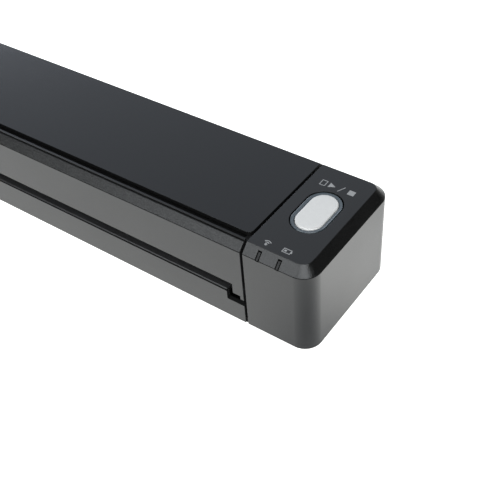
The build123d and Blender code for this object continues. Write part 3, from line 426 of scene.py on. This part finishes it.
# Each plastic: colours beside and on its specks, least and most roughness, grains per metre, depth of the grain
finishes = {
    "dark_plastic": moulded("housing_plastic", grey(0.006), grey(0.010), (0.36, 0.44), 4200, 0.010 * mm),
    "top_plastic": moulded("lid_plastic", grey(0.001), grey(0.007), (0.28, 0.33), 2300, 0.042 * mm),
    "gloss_panel": moulded("flap_plastic", grey(0.006), grey(0.008), (0.12, 0.16), 5000, 0.0008 * mm),
    "trim_plastic": moulded("trim_plastic", grey(0.003), grey(0.020), (0.36, 0.44), 2000, 0.042 * mm),
    "white_key": moulded("key_plastic", (0.71, 0.70, 0.68), (0.73, 0.72, 0.70), (0.28, 0.34), 900, 0.0006 * mm),
    # Light ring: its blue-grey colour is partly the ring's own tint and partly painted glow of the blue lamp under it.
    "light_guide": moulded("light_guide_plastic", (0.062, 0.079, 0.091), (0.078, 0.095, 0.107), (0.24, 0.30), 3000,
                           0.002 * mm, coat=0.5),
    "inner_plastic": moulded("inner_plastic", grey(0.010), grey(0.014), (0.42, 0.50), 3600, 0.008 * mm),
    "white_pad": moulded("white_pad", (0.70, 0.70, 0.69), (0.78, 0.78, 0.77), (0.55, 0.65), 4000, 0.004 * mm),
    "bush_plastic": moulded("bush_plastic", (0.030, 0.030, 0.032), (0.040, 0.040, 0.042), (0.35, 0.42), 3000,
                            0.002 * mm),
    "gear_plastic": moulded("gear_plastic", (0.62, 0.61, 0.56), (0.70, 0.69, 0.64), (0.32, 0.40), 3000, 0.002 * mm),
    "roller_rubber": moulded("roller_rubber", grey(0.020), grey(0.035), (0.68, 0.80), 3200, 0.02 * mm),
    "pinch_plastic": moulded("pinch_plastic", grey(0.03), grey(0.04), (0.28, 0.36), 3600, 0.002 * mm),
    "sensor_plastic": moulded("sensor_plastic", grey(0.010), grey(0.013), (0.38, 0.46), 3600, 0.005 * mm),
    "electronic_parts": moulded("component_plastic", grey(0.012), grey(0.03), (0.40, 0.52), 2600, 0.006 * mm),
    "battery_wrap": moulded("battery_wrap", (0.010, 0.030, 0.10), (0.014, 0.040, 0.12), (0.25, 0.35), 900, 0.02 * mm),
    "foot_rubber": moulded("foot_rubber", grey(0.012), grey(0.020), (0.60, 0.72), 3600, 0.01 * mm),
    "steel": drawn_steel(),
    "circuit_board": solder_mask(),
    "clear_glass": sensor_window(),
}
smoked_guide = moulded("smoked_guide", grey(0.006), grey(0.010), (0.30, 0.36), 3000, 0.002 * mm, specular=0.22)
# Near-black plastic that hardly reflects: painted shadow for the webs deep in the gaps beside the end housings.
painted_shadow_plastic = moulded("painted_shadow_plastic", grey(0.002), grey(0.004), (0.60, 0.70), 3000, 0.010 * mm, specular=0.06)
cover_plastic = moulded("cover_plastic", grey(0.004), grey(0.008), (0.50, 0.58), 3000, 0.012 * mm, specular=0.4)
# Painted light: the lower paper guide is painted lighter than the housing, so the ledge in the feed guide's shade reads
# lit.
painted_light_ledge = moulded("painted_light_ledge", grey(0.014), grey(0.028), (0.34, 0.42), 2300, 0.03 * mm)
ink = sign_ink()

# Painted light: the panel tops are painted lighter than the chamfers and sides of the same plastic; the cover top gets
# one shade of its own.
paint_top_shade_and_grain(finishes["top_plastic"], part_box("button_panel")[1].z, grey(0.013), 0.2)
paint_top_shade_and_grain(cover_plastic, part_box("top_cover")[1].z, grey(0.007), 0.3)
for record in frame["record"]["subparts"]:
    paint(frame["nodes"][record["node"]], finishes[record["material_slot"]])
paint(frame["nodes"]["lower_paper_guide"], painted_light_ledge)


# Moulded shells with rounded edges
def clean_copy(name):
    """A CAD node's own mesh, merged into whole faces."""
    source = frame["nodes"][name].data
    mesh = bpy.data.meshes.new(name + "_finish")
    corners = [point.co for point in source.vertices]
    mesh.from_pydata(corners, [], [face.vertices[:] for face in source.polygons])
    shell = bmesh.new()
    shell.from_mesh(mesh)
    bmesh.ops.remove_doubles(shell, verts=shell.verts, dist=weld)
    bmesh.ops.dissolve_limit(shell, angle_limit=flat_angle, verts=shell.verts, edges=shell.edges)
    shell.to_mesh(mesh)
    shell.free()
    return mesh


def rounded(name, width):
    """Stands for a CAD node with the same shape and softly rounded edges."""
    body = frame["nodes"][name]["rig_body"]
    slot = next(item["material_slot"] for item in frame["record"]["subparts"] if item["node"] == name)
    piece = new_piece(name + "_finish", clean_copy(name), body, slot, name)
    paint(piece, finishes[slot])
    for face in piece.data.polygons:
        face.use_smooth = True
    edge = piece.modifiers.new("rounded_edge", "BEVEL")
    edge.width = width
    edge.segments = edge_steps
    edge.limit_method = "ANGLE"
    edge.angle_limit = crease_angle
    edge.use_clamp_overlap = True
    evened = piece.modifiers.new("even_shading", "WEIGHTED_NORMAL")
    evened.keep_sharp = True
    return piece


edges = {
    "base_housing": shell_edge,
    "right_end_housing": shell_edge,
    "left_end_housing": shell_edge,
    "button_panel": panel_edge,
    "left_top_panel": panel_edge,
    "feed_guide": shell_edge,
    "top_cover": cover_edge,
    "cover_front_trim": small_edge,
    "output_guide": flap_edge,
    "wireless_light_pipe": small_edge,
    "battery_light_pipe": small_edge,
    "rubber_feet": foot_edge,
    "wireless_switch": small_edge,
    "pairing_button": small_edge,
}
shells = {name: rounded(name, width) for name, width in edges.items()}
paint(shells["top_cover"], cover_plastic)
paint(shells["wireless_light_pipe"], smoked_guide)
paint(shells["battery_light_pipe"], smoked_guide)


# Webs at the foot of the gaps beside the end housings
def gap_web(name, low, high):
    """A plain block of housing between two corners, with its edges eased, painted near-black as painted shadow at the
    foot of the gap.
    """
    block = bmesh.new()
    bmesh.ops.create_cube(block, size=1)
    bmesh.ops.scale(block, vec=high - low, verts=block.verts)
    bmesh.ops.translate(block, vec=(low + high) / 2, verts=block.verts)
    bmesh.ops.bevel(block, geom=block.edges[:], offset=web_edge, segments=web_edge_steps, affect="EDGES")
    web = new_piece(name, finished_mesh(name, block, False), "housing", "dark_plastic")
    paint(web, painted_shadow_plastic)


base_low, base_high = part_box("base_housing")
for side, name in ((1, "right_gap_web"), (-1, "left_gap_web")):
    reach = sorted((side * (base_high.x - web_reach), side * (base_high.x + web_touch)))
    gap_web(
        name,
        Vector((reach[0], base_low.y + web_back, base_low.z + web_back)),
        Vector((reach[1], base_high.y - web_back, base_low.z + web_rise)),
    )


# Shapes set on points by Geometry Nodes
def set_tree(name, sizes):
    """Makes an empty geometry tree with a named input for each size."""
    tree = bpy.data.node_groups.new(name, "GeometryNodeTree")
    tree.interface.new_socket("Geometry", in_out="INPUT", socket_type="NodeSocketGeometry")
    for title in sizes:
        tree.interface.new_socket(title, in_out="INPUT", socket_type="NodeSocketFloat")
    tree.interface.new_socket("Geometry", in_out="OUTPUT", socket_type="NodeSocketGeometry")
    return tree, node(tree, "NodeGroupInput"), node(tree, "NodeGroupOutput")


def joined(tree, *values):
    """A vector whose parts are sockets or numbers."""
    vector = node(tree, "ShaderNodeCombineXYZ")
    for axis, value in zip("XYZ", values):
        if isinstance(value, (int, float)):
            vector.inputs[axis].default_value = value
        else:
            tree.links.new(value, vector.inputs[axis])
    return vector.outputs["Vector"]


def times(tree, value, factor):
    """A socket's value times a number."""
    product = node(tree, "ShaderNodeMath", {1: factor}, operation="MULTIPLY")
    tree.links.new(value, product.inputs[0])
    return product.outputs["Value"]


def scattered(name, tree, shape, given, result, material, points, sizes, body, slot, *replaced):
    """Sets a tree's shape on points, makes the instances real and keeps them as one plain mesh."""
    setting = node(tree, "GeometryNodeInstanceOnPoints")
    real = node(tree, "GeometryNodeRealizeInstances")
    surface = node(tree, "GeometryNodeSetMaterial", {"Material": material})
    wire(given, "Geometry", setting, "Points")
    tree.links.new(shape, setting.inputs["Instance"])
    wire(setting, "Instances", real, "Geometry")
    wire(real, "Geometry", surface, "Geometry")
    wire(surface, "Geometry", result, "Geometry")
    places = bpy.data.meshes.new(name + "_places")
    places.from_pydata(points, [], [])
    holder = bpy.data.objects.new(name + "_places", places)
    bpy.context.scene.collection.objects.link(holder)
    modifier = holder.modifiers.new("setting", "NODES")
    modifier.node_group = tree
    for socket in tree.interface.items_tree:
        if socket.in_out == "INPUT" and socket.name in sizes:
            modifier[socket.identifier] = sizes[socket.name]
    settled = holder.evaluated_get(bpy.context.evaluated_depsgraph_get())
    mesh = bpy.data.meshes.new_from_object(settled)
    bpy.data.objects.remove(holder)
    mesh.name = name
    piece = new_piece(name, mesh, body, slot, *replaced)
    paint(piece, material)
    return piece


# Housing screws, one at each of the housing's screw places
def island_boxes(name):
    """Corners of the box round each separate solid of a CAD node."""
    solid = bmesh.new()
    solid.from_mesh(frame["nodes"][name].data)
    bmesh.ops.remove_doubles(solid, verts=solid.verts, dist=weld)
    left = set(solid.verts)
    boxes = []
    while left:
        reached = {left.pop()}
        waiting = list(reached)
        while waiting:
            point = waiting.pop()
            for edge in point.link_edges:
                other = edge.other_vert(point)
                if other in left:
                    left.discard(other)
                    reached.add(other)
                    waiting.append(other)
        corners = [point.co for point in reached]
        boxes.append([Vector([pick(corner[axis] for corner in corners) for axis in range(3)]) for pick in (min, max)])
    solid.free()
    return sorted(boxes, key=lambda box: [round(place, sorting_digits) for place in box[0].xy])


def tapered_head(tree, given):
    """A head that widens upwards, with a shank on it and a cross recess in its foot."""
    links = tree.links
    head = node(tree, "GeometryNodeMeshCone", {"Vertices": round_sides})
    links.new(times(tree, given.outputs["Head radius"], head_taper), head.inputs["Radius Bottom"])
    wire(given, "Head radius", head, "Radius Top")
    wire(given, "Head height", head, "Depth")
    shank = node(tree, "GeometryNodeMeshCylinder", {"Vertices": round_sides})
    wire(given, "Shank radius", shank, "Radius")
    wire(given, "Length", shank, "Depth")
    raised = node(tree, "GeometryNodeTransform")
    wire(shank, "Mesh", raised, "Geometry")
    rise = joined(tree, 0.0, 0.0, times(tree, given.outputs["Length"], shank_middle))
    links.new(rise, raised.inputs["Translation"])
    whole = node(tree, "GeometryNodeMeshBoolean", operation="UNION")
    wire(head, "Mesh", whole, "Mesh 2")
    wire(raised, "Geometry", whole, "Mesh 2")
    cut = node(tree, "GeometryNodeMeshBoolean", operation="DIFFERENCE")
    wire(whole, "Mesh", cut, "Mesh 1")
    # Each blade is centred on the head's foot, so half of it cuts
    narrow = given.outputs["Recess width"]
    wide = times(tree, given.outputs["Head radius"], recess_span)
    deep = times(tree, given.outputs["Recess depth"], 2.0)
    for sides in ((narrow, wide), (wide, narrow)):
        blade = node(tree, "GeometryNodeMeshCube")
        links.new(joined(tree, *sides, deep), blade.inputs["Size"])
        wire(blade, "Mesh", cut, "Mesh 2")
    return cut.outputs["Mesh"]


def housing_screws():
    """Cross-recessed screws in place of the plain ones."""
    boxes = island_boxes("housing_screws")
    low, high = boxes[0]
    shank_end = 0.5 + shank_middle
    sizes = {
        "Head radius": (high.x - low.x) / 2,
        "Head height": screw_head,
        "Shank radius": screw_shank,
        "Length": (high.z - low.z) / shank_end,
        "Recess width": recess_width,
        "Recess depth": recess_depth,
    }
    tree, given, result = set_tree("cross_screws", sizes)
    points = [((a.x + b.x) / 2, (a.y + b.y) / 2, a.z) for a, b in boxes]
    scattered("housing_screws_finish", tree, tapered_head(tree, given), given, result, finishes["steel"], points,
              sizes, "housing", "steel", "housing_screws")


def knob_ribs():
    """Upright round ribs along the face of the slide knob."""
    low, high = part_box("wireless_switch")
    middle = (low + high) / 2
    sizes = {"Rib radius": rib_radius, "Rib height": rib_height}
    tree, given, result = set_tree("grip_ribs", sizes)
    rib = node(tree, "GeometryNodeMeshCylinder", {"Vertices": rib_sides})
    wire(given, "Rib radius", rib, "Radius")
    wire(given, "Rib height", rib, "Depth")
    points = [(middle.x + row * rib_step, high.y - rib_sunk, middle.z) for row in rib_rows]
    knob_body = frame["nodes"]["wireless_switch"]["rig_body"]
    scattered("switch_knob_ribs", tree, rib.outputs["Mesh"], given, result, finishes["dark_plastic"], points,
              sizes, knob_body, "dark_plastic")


housing_screws()
knob_ribs()


# Light ring and push button, both slot-shaped seen from above
def stadium(width, length):
    """Points and outward ways round a slot-shaped path about the origin, longest along Y."""
    straight = (length - width) / 2
    path = []
    for end, start in ((1, 0), (-1, pi)):
        for step in range(slot_steps + 1):
            angle = start + pi * step / slot_steps
            way = Vector((cos(angle), sin(angle), 0))
            path.append((Vector((0, end * straight, 0)) + way * width / 2, way))
    return path


def light_ring(ring_low, ring_high, key_high):
    """Closed ring with a ridged crown and a flange, its section swept round the button."""
    rise = key_high.z + key_lift - ring_drop - ring_low.z
    reach = ring_width + ring_flange
    section = [
        (ring_lip, 0),
        *((out, rise - down) for out, down in ring_crown),
        (ring_edge, ring_flange_rise),
        (reach, ring_flange_rise),
        (reach, 0),
    ]
    place = Vector(((ring_low.x + ring_high.x) / 2, (ring_low.y + ring_high.y) / 2, ring_low.z))
    path = stadium(ring_high.x - ring_low.x - 2 * reach, ring_high.y - ring_low.y - 2 * reach)
    ring = bmesh.new()
    rows = [
        [ring.verts.new(place + point + way * out + Vector((0, 0, up))) for out, up in section]
        for point, way in path
    ]
    for row, after in zip(rows, rows[1:] + rows[:1]):
        for step in range(len(section)):
            ring.faces.new((row[step], after[step], after[step - 1], row[step - 1]))
    mesh = finished_mesh("button_light_ring_finish", ring, True)
    piece = new_piece("button_light_ring_finish", mesh, "housing", "light_guide", "button_light_ring")
    paint(piece, finishes["light_guide"])


def push_button(key_low, key_high):
    """Key with a flange at its foot, a rounded rim and a faint dome, on its plunger."""
    foot = key_high.z - key_depth
    top = key_depth + key_lift
    rim = [
        (-key_trim - key_round * (1 - cos(turn)), top - key_round * (1 - sin(turn)))
        for turn in map(radians, rim_degrees)
    ]
    section = [
        (key_flange, 0),
        (key_flange, key_flange_rise),
        (-key_trim, key_flange_rise),
        *rim,
        *((-inwards, top + up) for inwards, up in key_dome),
    ]
    place = Vector(((key_low.x + key_high.x) / 2, (key_low.y + key_high.y) / 2 + key_shift, foot))
    path = stadium(key_high.x - key_low.x - 2 * key_flange, key_high.y - key_low.y - 2 * key_flange)
    key = bmesh.new()
    rows = [
        [key.verts.new(place + point + way * out + Vector((0, 0, up))) for point, way in path]
        for out, up in section
    ]
    for row, above in zip(rows, rows[1:]):
        for step in range(len(path)):
            key.faces.new((row[step - 1], row[step], above[step], above[step - 1]))
    key.faces.new(rows[-1])
    key.faces.new(list(reversed(rows[0])))
    plunger_rise = foot - key_low.z
    plunger_middle = Matrix.Translation(place - Vector((0, 0, (plunger_rise - plunger_overlap) / 2)))
    bmesh.ops.create_cone(key, cap_ends=True, segments=round_sides, radius1=plunger_radius, radius2=plunger_radius,
                          depth=plunger_rise + plunger_overlap, matrix=plunger_middle)
    mesh = finished_mesh("scan_button_finish", key, True)
    piece = new_piece("scan_button_finish", mesh, frame["nodes"]["scan_button"]["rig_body"], "white_key", "scan_button")
    paint(piece, finishes["white_key"])


ring_low, ring_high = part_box("button_light_ring")
key_low, key_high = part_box("scan_button")
light_ring(ring_low, ring_high, key_high)
push_button(key_low, key_high)


# Printed signs on the button panel, each made of flat outlines of (x, y) from its centre
def arc_band(radius, width, start, end, steps):
    """Outline of a bowed line about the sign's centre."""
    turn = [radians(start + (end - start) * step / steps) for step in range(steps + 1)]
    outside = [((radius + width / 2) * cos(angle), (radius + width / 2) * sin(angle)) for angle in turn]
    inside = [((radius - width / 2) * cos(angle), (radius - width / 2) * sin(angle)) for angle in reversed(turn)]
    return outside + inside


def bar(left, low, right, high):
    """Outline of an upright rectangle."""
    return [(left, low), (right, low), (right, high), (left, high)]


def frame_bars(left, low, right, high):
    """Outlines of the four lines round a rectangle."""
    return [
        bar(left, low, right, low + frame_line),
        bar(left, high - frame_line, right, high),
        bar(left, low + frame_line, left + frame_line, high - frame_line),
        bar(right - frame_line, low + frame_line, right, high - frame_line),
    ]


def lay_sign(name, outlines, place):
    """Prints a sign on the button panel, thin and raised, with its centre at a place."""
    sign = bmesh.new()
    for outline in outlines:
        face = sign.faces.new([sign.verts.new((x, y, 0)) for x, y in outline])
        raised = bmesh.ops.extrude_face_region(sign, geom=[face])
        tops = [item for item in raised["geom"] if isinstance(item, bmesh.types.BMVert)]
        bmesh.ops.translate(sign, verts=tops, vec=(0, 0, ink_rise))
    mesh = finished_mesh(name, sign, False)
    mesh.transform(Matrix.Translation(place))
    paint(new_piece(name, mesh, "housing", "top_plastic"), ink)


def radio_outlines():
    """A dot with two waves above it."""
    dot = arc_band(dot_radius, 2 * dot_radius, 0, dot_end, dot_steps)
    waves = [arc_band(reach, wave_line, wave_start, wave_end, wave_steps) for reach in wave_reaches]
    return [[(x, y - wave_drop) for x, y in outline] for outline in [dot, *waves]]


def charge_outlines():
    """A battery's case with its cap and a little charge."""
    case = frame_bars(case_left, -case_half, case_right, case_half)
    cap = bar(case_right, -cap_half, cap_end, cap_half)
    charge = bar(charge_left, -cap_half, charge_right, cap_half)
    return [*case, cap, charge]


def start_stop_outlines():
    """A sheet and a triangle for start, a slash, and a square for stop."""
    sheet = frame_bars(sheet_left, -sheet_half, sheet_right, sheet_half)
    play = [(play_back, -play_half), (play_tip, 0), (play_back, play_half)]
    slash = [
        (slash_foot, -slash_half),
        (slash_foot + slash_line, -slash_half),
        (slash_head + slash_line, slash_half),
        (slash_head, slash_half),
    ]
    stop = bar(stop_left, -stop_half, stop_right, stop_half)
    return [*sheet, play, slash, stop]


panel_low, panel_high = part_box("button_panel")
lamp_line = panel_low.y + lamp_sign_in
radio_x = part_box("wireless_light_pipe")[0].x + lamp_sign_across
charge_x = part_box("battery_light_pipe")[0].x + lamp_sign_across
start_x = (key_low.x + key_high.x) / 2
lay_sign("radio_sign", radio_outlines(), (radio_x, lamp_line, panel_high.z))
lay_sign("charge_sign", charge_outlines(), (charge_x, lamp_line, panel_high.z))
lay_sign("start_stop_sign", start_stop_outlines(), (start_x, panel_low.y + start_sign_in, panel_high.z))


# Studio
def round_patch(tree, place, centre, reach):
    """A soft round patch on the table: 1 at its centre, 0 at its reach."""
    away = node(tree, "ShaderNodeVectorMath", {1: centre}, operation="DISTANCE")
    wire(place, "Object", away, 0)
    span = {"From Min": 0.0, "From Max": reach, "To Min": 1.0, "To Max": 0.0}
    patch = node(tree, "ShaderNodeMapRange", span, interpolation_type="SMOOTHSTEP")
    wire(away, "Value", patch, "Value")
    return patch


def studio_table():
    """A pale sheet that glows, plain to the camera, with the painted bright and dim patches in the glow that the sides
    mirror as painted reflections.
    """
    bpy.ops.mesh.primitive_plane_add(size=table_size)
    sheet = bpy.context.object
    sheet.name = "studio_table"
    material, tree, surface = bare_material("studio_sheet")
    fill(surface, {
        "Base Color": table_colour,
        "Roughness": table_rough,
        "Specular IOR Level": table_specular,
        "Emission Color": table_tint,
    })
    place = node(tree, "ShaderNodeTexCoord")
    bright = node(tree, "ShaderNodeMath", {1: bright_gain, 2: table_glow}, operation="MULTIPLY_ADD")
    wire(round_patch(tree, place, bright_centre, bright_reach), "Result", bright, 0)
    dim = node(tree, "ShaderNodeMath", {1: -dim_loss}, operation="MULTIPLY_ADD")
    wire(round_patch(tree, place, dim_centre, dim_reach), "Result", dim, 0)
    wire(bright, "Value", dim, 2)
    seen = node(tree, "ShaderNodeMix", {"B": table_glow}, data_type="FLOAT")
    wire(node(tree, "ShaderNodeLightPath"), "Is Camera Ray", seen, "Factor")
    wire(dim, "Value", seen, "A")
    wire(seen, "Result", surface, "Emission Strength")
    sheet.data.materials.append(material)


def soft_light(name, size, power, tint, way):
    """A square softbox that stands off from the scanner's button end, in a given way, and faces it."""
    lamp = bpy.data.lights.new(name, "AREA")
    lamp.color = tint
    lamp.shape = "SQUARE"
    lamp.size = size
    lamp.energy = power
    light = bpy.data.objects.new(name, lamp)
    light.location = subject + way * card_reach
    light.rotation_euler = (-way).to_track_quat("-Z", "Y").to_euler()
    bpy.context.scene.collection.objects.link(light)


def studio_air():
    """Dim room light, with a pale backdrop where the camera looks past the table."""
    world = bpy.data.worlds.new("studio_air")
    world.use_nodes = True
    air = world.node_tree.nodes["Background"]
    fill(air, {"Color": (1, 1, 1, 1)})
    strength = node(world.node_tree, "ShaderNodeMapRange", {"To Min": room_light, "To Max": backdrop_light})
    wire(node(world.node_tree, "ShaderNodeLightPath"), "Is Camera Ray", strength, "Value")
    wire(strength, "Result", air, "Strength")
    bpy.context.scene.world = world


def studio_camera():
    """The photograph's own viewpoint, slightly tilted as the photograph is."""
    across = cos(camera_elevation)
    back = Vector((sin(camera_azimuth) * across, -cos(camera_azimuth) * across, sin(camera_elevation)))
    data = bpy.data.cameras.new("photo_camera")
    data.lens = camera_lens
    data.sensor_width = camera_sensor
    data.clip_start = camera_near
    camera = bpy.data.objects.new("photo_camera", data)
    turn = (-back).to_track_quat("-Z", "Y").to_matrix().to_4x4()
    camera.matrix_world = Matrix.Translation(camera_place) @ turn @ Matrix.Rotation(camera_roll, 4, "Z")
    bpy.context.scene.collection.objects.link(camera)
    bpy.context.scene.camera = camera


studio_table()
soft_light("front_card", size=0.55, power=3.2, tint=cool, way=Vector((-0.32, -0.735, 0.598)))
soft_light("back_card", size=1.1, power=2.25, tint=sky, way=Vector((-0.60, 0.61, 0.52)))
soft_light("rim_card", size=0.35, power=1.6, tint=sky, way=Vector((-0.8, 0.563, 0.2)))
soft_light("camera_card", size=0.8, power=8.2, tint=cool, way=Vector((0.45, -0.563, 0.693)))
studio_air()
bpy.context.scene.view_settings.view_transform = "Standard"
studio_camera()
